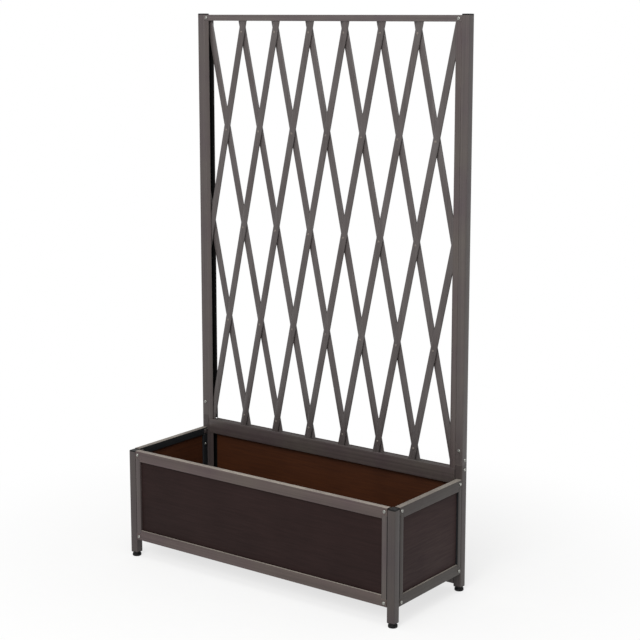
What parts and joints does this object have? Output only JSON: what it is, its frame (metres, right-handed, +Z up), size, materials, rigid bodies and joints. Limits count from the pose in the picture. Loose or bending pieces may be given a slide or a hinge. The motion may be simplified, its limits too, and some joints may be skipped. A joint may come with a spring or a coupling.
{
  "type": "planter with trellis",
  "caption": "Long planter box on four legs, panels held in a steel tube frame, with a tall diamond lattice between posts at its back for climbing plants.",
  "frame": {"origin": "middle of the bounding box of the footprint, on the floor under the feet", "axes": "+Z up, +X to the right seen from the front, +Y from the front to the trellis at the back"},
  "size_m": [0.8044, 0.3032, 1.35],
  "materials": {
    "frame_tube": "satin powder coat on steel tube",
    "lattice_tube": "satin powder coat on flat oval steel tube",
    "crossbar_steel": "satin powder coat on steel tube",
    "sleeve_steel": "zinc-plated tube, hidden inside the posts",
    "side_boards": "matt dark brown board",
    "back_board": "matt dark brown board",
    "floor_board": "matt dark brown board",
    "cap_plastic": "black moulded cap",
    "plug_plastic": "black moulded insert",
    "foot_rubber": "black moulded foot with a threaded stem",
    "zinc_screws": "bright zinc-plated pan-head screws",
    "painted_rivets": "painted rivet heads"
  },
  "bodies": {
    "planter_frame": {"back_bottom_rail": "frame_tube", "back_left_post": "frame_tube", "back_left_stile": "frame_tube", "back_panel": "back_board", "back_right_post": "frame_tube", "back_right_stile": "frame_tube", "back_top_rail": "frame_tube", "box_frame_screws": "zinc_screws", "floor_crossbars": "crossbar_steel", "floor_panel": "floor_board", "front_bottom_rail": "frame_tube", "front_left_post": "frame_tube", "front_left_post_cap": "cap_plastic", "front_left_stile": "frame_tube", "front_panel": "side_boards", "front_right_post": "frame_tube", "front_right_post_cap": "cap_plastic", "front_right_stile": "frame_tube", "front_top_rail": "frame_tube", "lattice_rivets": "painted_rivets", "lattice_slat_falling_1": "lattice_tube", "lattice_slat_falling_2": "lattice_tube", "lattice_slat_falling_3": "lattice_tube", "lattice_slat_falling_4": "lattice_tube", "lattice_slat_falling_5": "lattice_tube", "lattice_slat_falling_6": "lattice_tube", "lattice_slat_falling_7": "lattice_tube", "lattice_slat_falling_8": "lattice_tube", "lattice_slat_rising_1": "lattice_tube", "lattice_slat_rising_2": "lattice_tube", "lattice_slat_rising_3": "lattice_tube", "lattice_slat_rising_4": "lattice_tube", "lattice_slat_rising_5": "lattice_tube", "lattice_slat_rising_6": "lattice_tube", "lattice_slat_rising_7": "lattice_tube", "lattice_slat_rising_8": "lattice_tube", "left_back_stile": "frame_tube", "left_bottom_rail": "frame_tube", "left_front_stile": "frame_tube", "left_panel": "side_boards", "left_top_rail": "frame_tube", "leg_plugs": "plug_plastic", "post_joint_sleeves": "sleeve_steel", "right_back_stile": "frame_tube", "right_bottom_rail": "frame_tube", "right_front_stile": "frame_tube", "right_panel": "side_boards", "right_top_rail": "frame_tube", "trellis_left_post": "frame_tube", "trellis_left_post_cap": "cap_plastic", "trellis_left_stile": "frame_tube", "trellis_right_post": "frame_tube", "trellis_right_post_cap": "cap_plastic", "trellis_right_stile": "frame_tube", "trellis_screws": "zinc_screws", "trellis_top_rail": "frame_tube"},
    "front_left_foot_body": {"front_left_foot": "foot_rubber"},
    "front_right_foot_body": {"front_right_foot": "foot_rubber"},
    "back_left_foot_body": {"back_left_foot": "foot_rubber"},
    "back_right_foot_body": {"back_right_foot": "foot_rubber"}
  },
  "joints": [
    {"name": "front_left_foot_height", "type": "slide", "parent": "planter_frame", "child": "front_left_foot_body", "axis": [0, 0, -1], "range_m": [0, 0.008]},
    {"name": "front_right_foot_height", "type": "slide", "parent": "planter_frame", "child": "front_right_foot_body", "axis": [0, 0, -1], "range_m": [0, 0.008]},
    {"name": "back_left_foot_height", "type": "slide", "parent": "planter_frame", "child": "back_left_foot_body", "axis": [0, 0, -1], "range_m": [0, 0.008]},
    {"name": "back_right_foot_height", "type": "slide", "parent": "planter_frame", "child": "back_right_foot_body", "axis": [0, 0, -1], "range_m": [0, 0.008]}
  ]
}
